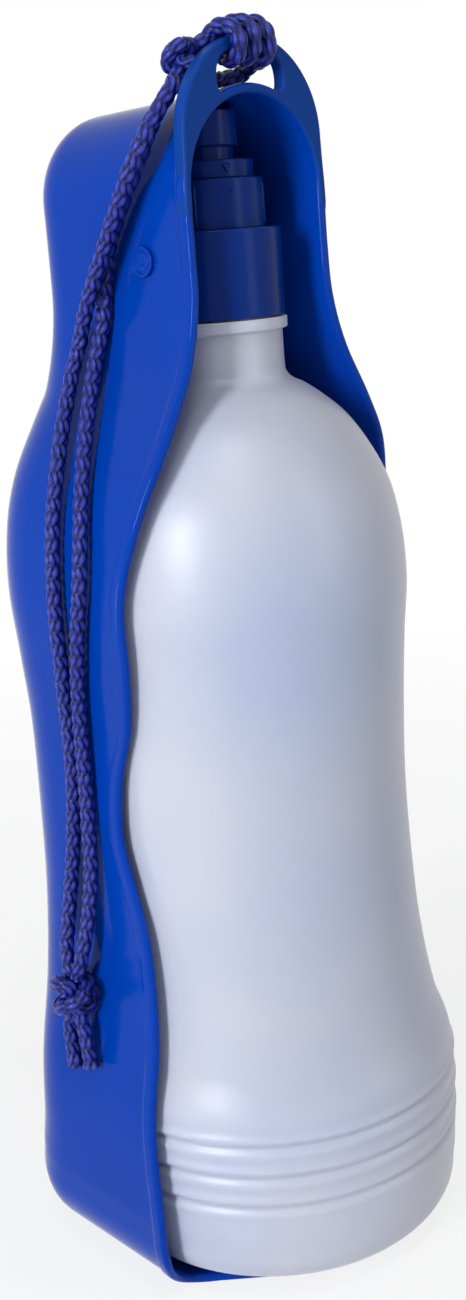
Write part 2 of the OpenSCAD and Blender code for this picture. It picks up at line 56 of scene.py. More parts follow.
turn[:3, 0], turn[:3, 1], turn[:3, 2] = across, upward, -look
turn[:3, 3] = camera_at
camera.matrix_world = Matrix(turn.tolist())
bpy.context.scene.camera = camera


# Lanyard strands: two runs of 3 mm braided polyester cord, from the knot behind the tab down the
# trough's left wall to the knot near its lower end. Twelve yarns are braided two over, two under.
cord_r, cord_sides, yarn_lay, braid_depth = 0.0015, 48, 0.0145, 0.42
yarns_each_way = 6
rear_points = [
    [-14, -8.2, 225.4], [-16.5, -7.4, 222.2], [-19.2, -7, 219], [-21, -5.8, 215.3], [-21.6, -3.6, 211.8],
    [-21.4, -0.8, 208], [-21.2, 2.2, 204], [-21, 5.2, 199.8], [-21.1, 8, 195.4], [-21.2, 10.6, 191],
    [-20.6, 13.6, 186.6], [-20.8, 15.2, 182.4], [-22.4, 15.8, 178], [-25, 15, 173], [-28, 13.6, 168],
    [-31.4, 11.8, 161.4], [-33.8, 11, 154.5], [-35.4, 10.4, 147.5], [-36.2, 10.2, 140], [-36.2, 10.6, 133],
    [-35.5, 11.3, 126], [-34.9, 12.1, 119], [-34.5, 12.4, 112], [-34.3, 12.8, 105], [-34.4, 13.5, 97],
    [-34.6, 14.8, 88], [-35.2, 16, 80], [-36.4, 16.4, 73], [-38, 15.6, 68]]
front_points = [
    [-10.2, -4.2, 226.2], [-12.2, -3.8, 223.6], [-14.6, -4.2, 221.4], [-17, -4.4, 218.2],
    [-18.6, -3.6, 214.6], [-19.2, -1.6, 211], [-19, 1.2, 207.6], [-18.6, 4.2, 204], [-18.2, 7.2, 199.8],
    [-17.9, 9.2, 195.4], [-17.9, 10.3, 191], [-18.6, 10.4, 186.6], [-20.2, 10.4, 182.4], [-22.4, 9.8, 178],
    [-25.2, 8.4, 173], [-28.6, 6.4, 167], [-31.8, 4.4, 160.6], [-34.2, 2.9, 154], [-35.9, 2, 147.6],
    [-36.8, 2.2, 141], [-36.7, 3.7, 134.6], [-36.1, 5.5, 128.4], [-35.4, 7.2, 121.6], [-34.9, 8.3, 114.4],
    [-34.7, 8.7, 107], [-34.7, 8.9, 100], [-34.9, 9, 93], [-35.2, 9, 87], [-35.8, 9.3, 81],
    [-36.8, 9.8, 75], [-38.2, 10.6, 69]]
upper_knot_at = np.array([-9.8, -6.6, 229.6]) / 1000
lower_knot_at = np.array([-39.4, 13, 60.6]) / 1000
upper_knot_r, lower_knot_r = 0.0034, 0.0045
start_depth = 0.00115


def leave(knot, radius, towards):
    """The point at the start depth inside a knot, from which a cord heads for the next point."""
    d = np.asarray(towards) - knot
    return knot + (radius - start_depth) * d / np.linalg.norm(d)


def smooth_run(points, step):
    """A Catmull-Rom curve through the points, worked out at 40 places in each span and taken again
    at equal steps of its length."""
    p = np.asarray(points, float)
    p = np.vstack([2 * p[0] - p[1], p, 2 * p[-1] - p[-2]])
    t = np.linspace(0, 1, 40, endpoint=False)[:, None]
    a, b, c, d = p[:-3, None], p[1:-2, None], p[2:-1, None], p[3:, None]
    run = 0.5 * (2 * b + (c - a) * t + (2 * a - 5 * b + 4 * c - d) * t**2 + (3 * b - a - 3 * c + d) * t**3)
    run = np.vstack([run.reshape(-1, 3), p[-2]])
    s = np.concatenate([[0], np.cumsum(np.linalg.norm(np.diff(run, axis=0), axis=1))])
    at = np.linspace(0, s[-1], max(int(round(s[-1] / step)), 4) + 1)
    return np.stack([np.interp(at, s, run[:, k]) for k in range(3)], axis=1)


def grid_faces(rows, columns, wrap_rows=False, wrap_columns=False):
    """Quads of a grid of rows by columns of points, closed on itself where asked."""
    i = np.arange(rows if wrap_rows else rows - 1)[:, None]
    j = np.arange(columns if wrap_columns else columns - 1)[None, :]
    i2, j2 = (i + 1) % rows, (j + 1) % columns
    quads = [i * columns + j, i * columns + j2, i2 * columns + j2, i2 * columns + j]
    return np.stack(np.broadcast_arrays(*quads), axis=-1).reshape(-1, 4)


def mesh_piece(name, points, faces, weld=False, fill=()):
    """A smooth-shaded mesh object at the origin from points in metres and a list of faces. Flat areas
    between loops of point numbers are filled, seams and poles whose points coincide are welded where
    asked, and the faces are turned outward."""
    data = bpy.data.meshes.new(name)
    data.from_pydata(np.asarray(points, float).tolist(), [], [list(map(int, f)) for f in faces])
    work = bmesh.new()
    work.from_mesh(data)
    work.verts.ensure_lookup_table()
    for loops in fill:
        rim = [work.edges.get((work.verts[a], work.verts[b])) for loop in loops
               for a, b in zip(loop, np.roll(loop, -1))]
        bmesh.ops.triangle_fill(work, use_beauty=True, use_dissolve=False, edges=rim)
    if weld:
        bmesh.ops.remove_doubles(work, verts=work.verts, dist=1e-6)
    bmesh.ops.recalc_face_normals(work, faces=work.faces)
    work.to_mesh(data)
    work.free()
    data.polygons.foreach_set("use_smooth", np.ones(len(data.polygons), bool))
    data.update()
    piece = bpy.data.objects.new(name, data)
    bpy.context.scene.collection.objects.link(piece)
    return piece


def braid_relief(theta, s, radius):
    """Height of a twelve-yarn braid, 0 to 1. Six yarns wind each way, and each goes over two and under
    two: its round section is raised by a cosine while it is over, and the higher yarn shows.
    Returned with the place across and along the yarn that shows."""
    turns = yarns_each_way * theta / (2 * np.pi)
    climb = yarns_each_way * s / (yarn_lay * radius / cord_r)
    a, b = turns + climb, turns - climb
    ia, ib = np.floor(a), np.floor(b)
    fa, fb = a - ia - 0.5, b - ib - 0.5
    ha = 0.55 * np.sqrt(np.clip(1 - (2 * fa) ** 2, 0, 1)) + 0.45 * np.cos(np.pi / 2 * (b - ia - 1))
    hb = 0.55 * np.sqrt(np.clip(1 - (2 * fb) ** 2, 0, 1)) + 0.45 * np.cos(np.pi / 2 * (a - ib - 2))
    on_a = ha > hb
    height = np.clip(np.maximum(ha, hb), 0, 1)
    return height, np.where(on_a, fa, fb), np.where(on_a, b, a)


def braided_cord(name, run, side, radius=cord_r, flare=0.0, flare_length=0.0035):
    """A braid carried along a run of points: each ring stands square to the run, turned to the side
    direction, and the braid's relief raises it. A flare widens the last millimetres unevenly. The
    ends are closed to a point just inside."""
    around = cord_sides
    t = np.gradient(run, axis=0)
    t /= np.linalg.norm(t, axis=1)[:, None]
    side = np.broadcast_to(side, run.shape)
    u = np.cross(t, side)
    u /= np.linalg.norm(u, axis=1)[:, None]
    v = np.cross(t, u)
    s = np.concatenate([[0], np.cumsum(np.linalg.norm(np.diff(run, axis=0), axis=1))])
    theta = np.linspace(0, 2 * np.pi, around, endpoint=False)
    th, ss = np.meshgrid(theta, s)
    height, across_yarn, along_yarn = braid_relief(th, ss, radius)
    r = radius * (1 - braid_depth * (1 - height))
    if flare:
        end = np.clip((ss - s[-1] + flare_length) / flare_length, 0, 1)
        r = r * (1 + flare * end**2 * (1 + 0.5 * np.sin(5 * th + 1) * np.cos(3 * th)))
    ring = np.cos(th)[..., None] * u[:, None] + np.sin(th)[..., None] * v[:, None]
    points = run[:, None] + r[..., None] * ring
    n = len(run)
    faces = grid_faces(n, around, wrap_columns=True)
    first, last = n * around, n * around + 1
    k = np.arange(around)
    k2 = (k + 1) % around
    start_fan = np.stack([k2, k, np.full(around, first)], axis=1)
    end_fan = np.stack([(n - 1) * around + k, (n - 1) * around + k2, np.full(around, last)], axis=1)
    ends = np.vstack([run[0] + t[0] * radius * 0.1, run[-1] - t[-1] * radius * 0.1])
    piece = mesh_piece(name, np.vstack([points.reshape(-1, 3), ends]),
                       list(faces[:, ::-1]) + list(start_fan[:, ::-1]) + list(end_fan[:, ::-1]))
    # The crest height is kept on the points for the cord's material, which paints shade in the gaps and a
    # highlight on the crests by it.
    crest = piece.data.attributes.new("crest", "FLOAT", "POINT")
    crest.data.foreach_set("value", np.append(height.ravel(), [0, 0]).astype(np.float32))
    yarn = piece.data.attributes.new("yarn", "FLOAT_VECTOR", "POINT")
    place = np.stack([across_yarn, along_yarn, np.zeros_like(height)], axis=-1).reshape(-1, 3)
    yarn.data.foreach_set("vector", np.vstack([place, np.zeros((2, 3))]).astype(np.float32).ravel())
    return piece


class Wire:
    """One output of a material's nodes. Arithmetic on it adds Math nodes, and add() any other node."""

    def __init__(self, tree, out=None):
        self.tree, self.out = tree, out

    def add(self, kind, settings=None, sockets=None, pick=0):
        """A node of that kind: its settings first, then the values or wires of its sockets."""
        node = self.tree.nodes.new(kind)
        for key, value in (settings or {}).items():
            if key == "stops":
                while len(node.color_ramp.elements) < len(value):
                    node.color_ramp.elements.new(0.5)
                for stop, (place, colour) in zip(node.color_ramp.elements, value):
                    stop.position, stop.color = place, (*colour, 1)
            else:
                setattr(node, key, value)
        for key, value in (sockets or {}).items():
            if isinstance(value, Wire):
                self.tree.links.new(value.out, node.inputs[key])
            else:
                node.inputs[key].default_value = value
        return Wire(self.tree, node.outputs[pick] if len(node.outputs) else None)

    def math(self, operation, a, b):
        """A Math node on two values or wires."""
        return self.add("ShaderNodeMath", {"operation": operation}, {0: a, 1: b})

    def __add__(self, other):
        return self.math("ADD", self, other)

    def __sub__(self, other):
        return self.math("SUBTRACT", self, other)

    def __rsub__(self, other):
        return self.math("SUBTRACT", other, self)

    def __mul__(self, other):
        return self.math("MULTIPLY", self, other)

    def __gt__(self, other):
        return self.math("GREATER_THAN", self, other)

    __radd__, __rmul__ = __add__, __mul__


def new_material(name):
    """An empty material with a Principled shader on its output: the material, a Wire and the shader."""
    material = bpy.data.materials.new(name)
    material.use_nodes = True
    tree = material.node_tree
    tree.nodes.clear()
    shader = tree.nodes.new("ShaderNodeBsdfPrincipled")
    output = tree.nodes.new("ShaderNodeOutputMaterial")
    tree.links.new(shader.outputs[0], output.inputs[0])
    return material, Wire(tree), shader


def feed(shader, **sockets):
    """Sets a shader's sockets, by name with _ for a space, to values or wires."""
    for key, value in sockets.items():
        socket = shader.inputs[key.replace("_", " ")]
        if isinstance(value, Wire):
            value.tree.links.new(value.out, socket)
        else:
            socket.default_value = value


def blend_colour(wire, mask, low, high):
    """Colour low where the mask is 0 and high where it is 1. Each is three numbers or a wire."""
    low = low if isinstance(low, Wire) else (*low, 1)
    high = high if isinstance(high, Wire) else (*high, 1)
    return wire.add("ShaderNodeMix", {"data_type": "RGBA"}, {0: mask, 6: low, 7: high}, pick=2)


def cord_polyester():
    """Satin violet-blue yarn, with painted shade that makes it near black in the braid's gaps and a painted
    highlight that brightens its crests, and with filaments that run along each yarn as a fine stretched
    noise in colour and bump."""
    material, wire, shader = new_material("cord_polyester")
    crest = wire.add("ShaderNodeAttribute", {"attribute_name": "crest"}, pick=2)
    yarn = wire.add("ShaderNodeAttribute", {"attribute_name": "yarn"}, pick=1)
    stretched = wire.add("ShaderNodeMapping", {}, {0: yarn, 3: (26.0, 2.2, 1.0)})
    filament = wire.add("ShaderNodeTexNoise", {}, {"Vector": stretched, "Scale": 1.0, "Detail": 3.0})
    place = wire.add("ShaderNodeTexCoord", pick=3)
    patch = wire.add("ShaderNodeTexNoise", {}, {"Vector": place, "Scale": 90.0, "Detail": 2.0})
    # Painted shade and highlight: by the braid's crest height, the colour runs from near black in the low
    # gaps to bright on the high crests.
    painted_shade_and_highlight = wire.add("ShaderNodeValToRGB", {"stops": [
        (0.0, (0.0005, 0.0008, 0.008)), (0.42, (0.004, 0.007, 0.075)), (0.75, (0.014, 0.024, 0.23)),
        (1.0, (0.065, 0.085, 0.52))]}, {0: crest * 0.9 + filament * 0.3 - 0.14})
    tint = blend_colour(wire, patch, (0.75, 0.75, 0.85), (1.0, 1.0, 1.0))
    colour = wire.add("ShaderNodeMix", {"data_type": "RGBA", "blend_type": "MULTIPLY"},
                      {0: 1.0, 6: painted_shade_and_highlight, 7: tint}, pick=2)
    bump = wire.add("ShaderNodeBump", {}, {"Strength": 0.35, "Distance": 0.0001, "Height": filament})
    feed(shader, Base_Color=colour, Roughness=0.30, Specular_IOR_Level=0.22, Normal=bump)
    return material


cord_finish = cord_polyester()


def finished(piece, material, body, node):
    """Gives a piece its material and its body, and hides the CAD node that it stands for."""
    piece.data.materials.append(material)
    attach(piece, body)
    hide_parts(node)
    return piece


def strand(name, points, node):
    """One run of cord between the two knots."""
    mid = np.array(points) / 1000
    run = smooth_run([leave(upper_knot_at, upper_knot_r, mid[0]), *mid,
                      leave(lower_knot_at, lower_knot_r, mid[-1])], step=0.00016)
    piece = finished(braided_cord(name, run, (1, 0, 0)), cord_finish, "trough", node)
    return piece


# Knots: the upper one is a tight overhand knot in the cord's own end behind the tab, and the lower
# one ties both runs together. Both are the same braid, drawn up hard, on a three-lobed knot's path.
def knot_run(centre, lobe, core, height, axis, spin, step=0.00012):
    """A three-lobed knot: a point goes twice round the axis while it weaves in and out three times
    by lobe about the core radius, and up and down three times by height."""
    t = np.linspace(0, 2 * np.pi, 721) + 0.3
    r = core + lobe * np.cos(3 * t)
    local = np.stack([r * np.cos(2 * t), r * np.sin(2 * t), height * np.sin(3 * t)], axis=1)
    axis = np.asarray(axis, float) / np.linalg.norm(axis)
    first = np.cross(axis, (0.3, 0.9, 0.2))
    first /= np.linalg.norm(first)
    second = np.cross(axis, first)
    c, s = np.cos(spin), np.sin(spin)
    pose = np.stack([first * c + second * s, second * c - first * s, axis])
    return centre + smooth_run(local[::12] @ pose, step)


def knot(name, centre, lobe, core, height, axis, spin, radius, node):
    """The knot's cord, braided like the runs, with its rings turned by the way out from the centre."""
    run = knot_run(centre, lobe, core, height, axis, spin)
    return finished(braided_cord(name, run, run - centre, radius=radius), cord_finish, "trough", node)


upper_knot = knot("lanyard_upper_knot_cord", upper_knot_at, lobe=0.0011, core=0.0021, height=0.0017,
                  axis=(0.5, 0.2, 1), spin=0.4, radius=0.00130, node="lanyard_upper_knot")
lower_knot = knot("lanyard_lower_knot_cord", lower_knot_at, lobe=0.0013, core=0.0026, height=0.0024,
                  axis=(0.1, -0.3, 1), spin=1.1, radius=0.00155, node="lanyard_lower_knot")


# Cord tails: the two cut ends under the lower knot, about a centimetre long, melted and spread a
# little where they were cut.
def tail(name, points, node):
    """A short end of the cord from inside the lower knot, wider where it was cut."""
    mid = np.array(points) / 1000
    run = smooth_run([leave(lower_knot_at, lower_knot_r, mid[0]), *mid], step=0.00014)
    return finished(braided_cord(name, run, (1, 0, 0), flare=0.22), cord_finish, "trough", node)


rear_tail = tail("lanyard_tail_rear_cord", [[-39.4, 15.2, 53], [-39.4, 15.2, 49], [-39.4, 14.8, 44.5]],
                 "lanyard_tail_rear")
front_tail = tail("lanyard_tail_front_cord", [[-39.4, 10.8, 53], [-39.5, 10.2, 49.6], [-39.5, 9.6, 46]],
                  "lanyard_tail_front")
strand("lanyard_strand_rear_cord", rear_points, "lanyard_strand_rear")
strand("lanyard_strand_front_cord", front_points, "lanyard_strand_front")


# Lanyard turns: the same cord, wound on an oval helix round the bar over the tab's slot. Its first
# end comes from the upper knot and its last runs back to it behind the tab.
turn_start, turn_sweep, turn_left, turn_pitch = 40, 960, -0.0056, 0.0036
bar_centre_z, bar_arc_r = 0.2162, 0.0162
turn_mid_y, turn_half_y, turn_half_z = -0.01155, 0.00325, 0.0030
turn_angle = np.radians(np.arange(turn_start, turn_start + turn_sweep + 1, 15))
turn_x = turn_left + turn_pitch * (turn_angle - turn_angle[0]) / (2 * np.pi)
bar_z = bar_centre_z + np.sqrt(bar_arc_r**2 - turn_x**2)
turns = np.stack([turn_x, turn_mid_y + turn_half_y * np.cos(turn_angle),
                  bar_z + turn_half_z * np.sin(turn_angle)], axis=1)
turns_back = np.array([[4.3, -8.6, 228.4], [4.3, -6.8, 227.5], [3, -5.4, 227], [0.8, -4.8, 226.7],
                       [-1.8, -4.7, 226.8], [-4.2, -4.9, 227.3]]) / 1000
wound = smooth_run([leave(upper_knot_at, upper_knot_r, turns[0]), *turns, *turns_back,
                    leave(upper_knot_at, upper_knot_r, turns_back[-1])], step=0.00015)
wrap = finished(braided_cord("lanyard_wrap_cord", wound, (1, 0, 0.2)), cord_finish, "trough",
                "lanyard_wrap")


# Trough: one injection-moulded shell of glossy royal blue plastic. It has a round head, an hourglass
# waist, a flat back and a thickened lip along its wavy edge.
wall, back_y, rim_grow, low_half = 0.0014, 0.040, 0.0018, 0.0397
end_corner, back_corner, end_back_corner = 0.013, 0.0172, 0.0134
arch_z, arch_r, spine_low = 0.2076, 0.016, 0.032
lip_r, band_low, band_end = 0.00085, 0.0026, 0.0032
lean_depth, head_lean, spare = 0.003, 0.55, 0.002
head_step, head_from, head_over = 0.0036, 0.150, 0.040
rim_width = [
    [14.4, 39.7], [20, 39.9], [38, 38.6], [56, 35.1], [74, 32.9], [92, 32.1], [110, 32], [124, 33.1],
    [137, 34.1], [148, 33.1], [158, 30.2], [168, 24.9], [178, 19.4], [188, 16.5], [197, 16], [207.6, 16]]
rim_front = [
    [14.4, -9.1], [20, -9.3], [38, -7.6], [56, -6.9], [74, -4.3], [84, -1], [93, 1.5], [104, 0.4],
    [116, -4.1], [128, -6.2], [140, -7.3], [152, -10.7], [164, -13.4], [188, -13.2], [200, -13],
    [223.6, -13]]
end_front = [
    [0, -24.6], [8, -23.8], [12.5, -22.2], [16, -20.1], [20, -16.8], [25, -12.1], [29, -8.4], [32, -6.9],
    [35, -6.9], [37.5, -7.9], [39.7, -9.1]]


def through(stations, z):
    """A smooth curve at z through [z, value] stations: cubic pieces whose slopes are central
    differences, and 0 at both ends. Stations in mm, z and the result in metres."""
    zs, values = np.array(stations, float).T / 1000
    slope = np.zeros(len(zs))
    slope[1:-1] = (values[2:] - values[:-2]) / (zs[2:] - zs[:-2])
    z = np.clip(z, zs[0], zs[-1])
    i = np.clip(np.searchsorted(zs, z, side="right") - 1, 0, len(zs) - 2)
    h = zs[i + 1] - zs[i]
    t = (z - zs[i]) / h
    return ((2 * t**3 - 3 * t**2 + 1) * values[i] + (t**3 - 2 * t**2 + t) * h * slope[i]
            + (3 * t**2 - 2 * t**3) * values[i + 1] + (t**3 - t**2) * h * slope[i + 1])


def trough_outline():
    """Half of the trough's inner edge seen from the front: along the bottom, round its corner, up
    the wavy side and over the arch. The other half mirrors it."""
    corner = end_corner
    flat = np.linspace(0, low_half - corner, 12, endpoint=False)
    a = np.radians(np.linspace(-90, 0, 17))
    z = np.linspace(wall + corner, arch_z, 171)[1:]
    b = np.radians(np.linspace(0, 90, 41))[1:]
    half = np.vstack([
        np.stack([flat, np.full(12, wall)], axis=1),
        np.stack([low_half - corner + corner * np.cos(a), wall + corner + corner * np.sin(a)], axis=1),
        np.stack([through(rim_width, z), z], axis=1),
        np.stack([arch_r * np.cos(b), arch_z + arch_r * np.sin(b)], axis=1)])
    return np.vstack([half, half[-2:0:-1] * [-1, 1]])


def trough_profile(rim, back, room, end_cut):
    """The shell's section at the stations, as rows of (way out, depth, way in, lean kept). From the
    middle of the inside of the back it goes round the inner corner, down the wall, over the rounded
    lip, past the step of its band, up the outside and round the outer corner to the back's middle."""
    a = np.radians(np.linspace(0, 90, 12))
    lip = np.radians(np.linspace(0, 90, 7))
    spread = np.array([1, 0.8, 0.6, 0.4, 0.25, 0.12, 0.05, 0.02])
    rows = []

    def back_part(grow, depth, corner):
        rr = np.minimum(corner - end_cut, room - lean_depth - spare)
        flat = [(grow, depth, rr + (room + grow - rr) * f, 1 - f) for f in spread]
        bend = [(grow, depth - rr + rr * np.sin(k), rr * (1 - np.cos(k)), 1) for k in a[::-1]]
        return flat + bend, depth - rr

    inside, top = back_part(0.0, back - wall, back_corner - wall)
    rows += inside
    rows += [(0, top + (rim + lip_r - top) * f, 0, 1)
             for f in (0.04, 0.15, 0.3, 0.45, 0.6, 0.75, 0.88, 0.96)]
    rows += [(lip_r * (1 - np.cos(k)), rim + lip_r * (1 - np.sin(k)), 0, 1) for k in lip]
    rows += [(rim_grow - lip_r * (1 - np.sin(k)), rim + lip_r * (1 - np.cos(k)), 0, 1) for k in lip]
    rows += [(rim_grow, rim + d, 0, 1) for d in (0.0011, 0.0016, 0.0022)]
    rows += [(wall + 0.0004 * f, rim + band_low + 0.0004 * g, 0, 1) for f, g in
             ((0.93, 0.1), (0.75, 0.3), (0.5, 0.5), (0.25, 0.7), (0.07, 0.9))]
    outside, top = back_part(wall, back, back_corner)
    rows += [(wall, rim + band_end + (top - rim - band_end) * f, 0, 1)
             for f in (0, 0.04, 0.15, 0.3, 0.45, 0.6, 0.75, 0.88, 0.96)]
    rows += outside[::-1]
    return [np.stack(np.broadcast_arrays(*row), axis=-1) for row in rows]


def trough_shell():
    """Every station's section as a surface: a point leaves the outline by its way out, leans in with
    depth, and goes towards the middle line by its way in. The bottom is cut flat at the floor."""
    line = trough_outline()
    d = np.roll(line, -1, axis=0) - np.roll(line, 1, axis=0)
    d /= np.linalg.norm(d, axis=1)[:, None]
    out = np.stack([d[:, 1], -d[:, 0]], axis=1)
    middle = np.stack([np.zeros(len(line)), np.clip(line[:, 1], spine_low, arch_z)], axis=1)
    gap = middle - line
    room = np.linalg.norm(gap, axis=1)
    inward = gap / room[:, None]
    over_arch = line[:, 1] > arch_z + 1e-9
    lean = np.stack([inward[:, 0], np.where(over_arch, head_lean * inward[:, 1], 0)], axis=1)
    rim = np.where(line[:, 1] < wall + end_corner - 1e-5, through(end_front, np.abs(line[:, 0])),
                   through(rim_front, line[:, 1]))
    up = np.clip((line[:, 1] - head_from) / head_over, 0, 1)
    back = back_y - head_step * up * up * (3 - 2 * up)
    up = np.clip((line[:, 1] - wall) / (2 * end_corner), 0, 1)
    end_cut = (back_corner - end_back_corner) * (1 - up * up * (3 - 2 * up))
    columns = []
    for row in trough_profile(rim, back, room, end_cut):
        grow, y, inset, held = row[:, 0:1], row[:, 1:2], row[:, 2:3], row[:, 3:4]
        along = lean_depth * (y - rim[:, None]) / (back - rim)[:, None]
        flat = line + grow * out + along * lean * held + inset * inward
        columns.append(np.stack([flat[:, 0], y[:, 0], np.maximum(flat[:, 1], 0)], axis=1))
    points = np.stack(columns, axis=1)
    points[:, 0] = np.stack([middle[:, 0], back - wall, middle[:, 1]], axis=1)
    points[:, -1] = np.stack([middle[:, 0], back, middle[:, 1]], axis=1)
    return points


shell = trough_shell()
trough = mesh_piece("trough_shell", shell.reshape(-1, 3),
                    grid_faces(shell.shape[0], shell.shape[1], wrap_rows=True), weld=True)


def glossy_blue(name, base, rough, haze):
    """Moulded polypropylene: one deep colour with a faint cloud in it, low waves and fine scuffs in
    its gloss, and a fine grain where it is hazier."""
    material, wire, shader = new_material(name)
    place = wire.add("ShaderNodeTexCoord", pick=3)
    cloud = wire.add("ShaderNodeTexNoise", {}, {"Vector": place, "Scale": 22.0, "Detail": 2.0})
    wave = wire.add("ShaderNodeTexNoise", {}, {"Vector": place, "Scale": 34.0, "Detail": 1.5})
    grain = wire.add("ShaderNodeTexNoise", {}, {"Vector": place, "Scale": 2600.0, "Detail": 2.0})
    drawn = wire.add("ShaderNodeMapping", {}, {0: place, 3: (60.0, 60.0, 900.0), 2: (0.5, 0.3, 0.2)})
    scuff = wire.add("ShaderNodeTexNoise", {}, {"Vector": drawn, "Scale": 1.0, "Detail": 4.0})
    scuffed = (scuff > 0.66) * 0.10
    colour = blend_colour(wire, cloud, [c * 0.86 for c in base], [min(c * 1.10, 1) for c in base])
    low = wire.add("ShaderNodeBump", {}, {"Strength": 0.5, "Distance": 0.0007, "Height": wave})
    fine = wire.add("ShaderNodeBump", {},
                    {"Strength": haze, "Distance": 0.00003, "Height": grain, "Normal": low})
    feed(shader, Base_Color=colour, Roughness=cloud * 0.06 + scuffed + (rough - 0.03), Normal=fine,
         Specular_IOR_Level=0.07)
    return material


trough_blue = glossy_blue("trough_blue", (0.0004, 0.041, 0.345), 0.13, 0.10)
tab_blue = glossy_blue("tab_blue", (0.004, 0.045, 0.26), 0.34, 0.45)
finished(trough, trough_blue, "trough", "tray")


# Hanging tab: the flat plate over the trough's round head, moulded with it, with a slot for the
# lanyard. Its face is a little hazier than the trough, and its edges are rounded.
tab_r, tab_top, tab_front, tab_back, tab_edge = 0.0172, 0.2334, -0.01302, -0.0103, 0.0005
slot_half, slot_arc_half, slot_round, bar_h, arch_edge_r = 0.0082, 0.0046, 0.0029, 0.0020, 0.01608


def eased_corners(points, cuts, steps=8, most=0.5):
    """A line through the points whose corners are cut back by the given lengths, at most that share
    of the next run, and bridged by a parabola."""
    points = np.asarray(points, float)
    t = np.linspace(0, 1, steps)[:, None]
    out = [points[:1]]
    for before, at, after, cut in zip(points[:-2], points[1:-1], points[2:], cuts):
        if cut == 0:
            out.append(at[None])
            continue
        a = at + (before - at) * min(cut / np.linalg.norm(before - at), most)
        b = at + (after - at) * min(cut / np.linalg.norm(after - at), most)
        out.append((1 - t) ** 2 * a + 2 * t * (1 - t) * at + t**2 * b)
    out.append(points[-1:])
    return np.vstack(out)


def arc(radius, centre_z, start, stop, n):
    """Points (x, z) on a circle round the middle line, by angles in degrees from +X."""
    a = np.radians(np.linspace(start, stop, n))
    return np.stack([radius * np.cos(a), centre_z + radius * np.sin(a)], axis=1)


def tab_loops():
    """The tab's outline and its slot as closed loops. The outline goes from the top down to a horn
    beside the arch, and back along the arch. The slot's ends are rounded."""
    horn = [[0.0172, 0.2162], [0.01735, 0.2125], [0.01762, 0.2085], [0.01775, 0.205], [0.01760, 0.2035],
            [0.01722, 0.2029], [0.01650, 0.2032], [0.01614, 0.2045]]
    outer = np.vstack([arc(tab_r, tab_top - tab_r, 90, 0, 60)[:-1], horn,
                       arc(arch_edge_r, arch_z, 0, 90, 60)])
    side_top = np.sqrt((tab_r - bar_h) ** 2 - slot_half**2) + tab_top - tab_r
    side_low = np.sqrt((arch_r + wall) ** 2 - slot_half**2) + arch_z
    cut_top = np.degrees(np.arccos(slot_arc_half / (tab_r - bar_h)))
    cut_low = np.degrees(np.arccos(slot_arc_half / (arch_r + wall)))
    slot = eased_corners(
        np.vstack([arc(tab_r - bar_h, tab_top - tab_r, 90, cut_top, 20), [slot_half, side_top],
                   [slot_half, side_low], arc(arch_r + wall, arch_z, cut_low, 90, 20)]),
        [0] * 19 + [slot_round, slot_round] + [0] * 19, most=0.95)
    return [np.vstack([half, half[-2:0:-1] * [-1, 1]]) for half in (outer, slot)]


def inset_loop(loop, d):
    """A closed loop moved by d to its left."""
    t = np.roll(loop, -1, axis=0) - np.roll(loop, 1, axis=0)
    t /= np.linalg.norm(t, axis=1)[:, None]
    return loop + d * np.stack([-t[:, 1], t[:, 0]], axis=1)


def tab_plate():
    """The plate's edges: each loop carried from a line just inside the front face over the rounded
    edge to a line just inside the rear one. The two flat faces are filled between those lines."""
    a = np.radians(np.linspace(90, 0, 6))
    cut = np.concatenate([[tab_edge + 0.00006], tab_edge * (1 - np.cos(a))])
    deep = np.concatenate([[0], tab_edge * (1 - np.sin(a))])
    cut, depth = np.append(cut, cut[::-1]), np.append(tab_front + deep, (tab_back - deep)[::-1])
    points, faces, lines, start = [], [], [], 0
    for loop, way in zip(tab_loops(), (-1, 1)):
        rows = [np.insert(inset_loop(loop, way * c), 1, y, axis=1) for c, y in zip(cut, depth)]
        points.append(np.concatenate(rows))
        faces.append(grid_faces(len(rows), len(loop), wrap_columns=True) + start)
        first_line = start + np.arange(len(loop))
        lines.append([first_line, first_line + (len(rows) - 1) * len(loop)])
        start += len(points[-1])
    return mesh_piece("hanging_tab", np.vstack(points), np.vstack(faces), fill=list(zip(*lines)))


finished(tab_plate(), tab_blue, "trough", "tray")


# Bottle: blow-moulded polyethylene with a pearly, slightly see-through white, a round shoulder, a
# pulled-in waist and three ribs over its rounded foot. It screws up into the cap.
base_z, base_r, foot_r, foot_in, neck_r = 0.0041, 0.0375, 0.0075, 0.0007, 0.012
neck_top, finish_r, finish_top, finish_wall = 0.1852, 0.0106, 0.1964, 0.0018
bead_r, rib_z, rib_pitch = 0.0130, 0.0233, 0.0064
shoulder_z, shoulder_r, shoulder_rise, bottle_wall = 0.136, 0.0327, 0.038, 0.001
pivot_z = 0.1967
side_stations = [
    [11.6, 36.8], [16.1, 37.3], [20.1, 37.4], [39.3, 37.3], [48.5, 34.6], [63.5, 32.2], [78.5, 31.1],
    [95, 30.6], [110.5, 31], [124.5, 31.8], [136, 32.7]]
shoulder_drop = [[0, 0], [6, 0.25], [12, 1.05], [18, 2.6], [24, 5.5], [30, 9.6], [34, 14], [36.4, 17.4],
                 [37.6, 19.6]]


def rib(z):
    """Relief of the three ribs at z: a bead 0.45 mm proud over a groove 0.6 mm deep, and a lower bead
    in the band beneath, each with the form of a Gaussian."""
    k = np.clip(np.round((z - rib_z) / rib_pitch), 0, 2)
    d = (z - rib_z - k * rib_pitch) * 1000

    def swell(height, middle, width):
        return height * np.exp(-((d - middle) / width) ** 2)

    return swell(0.00045, 1.0, 0.85) + swell(-0.00060, -0.55, 0.75) + swell(0.00018, -2.3, 0.70)


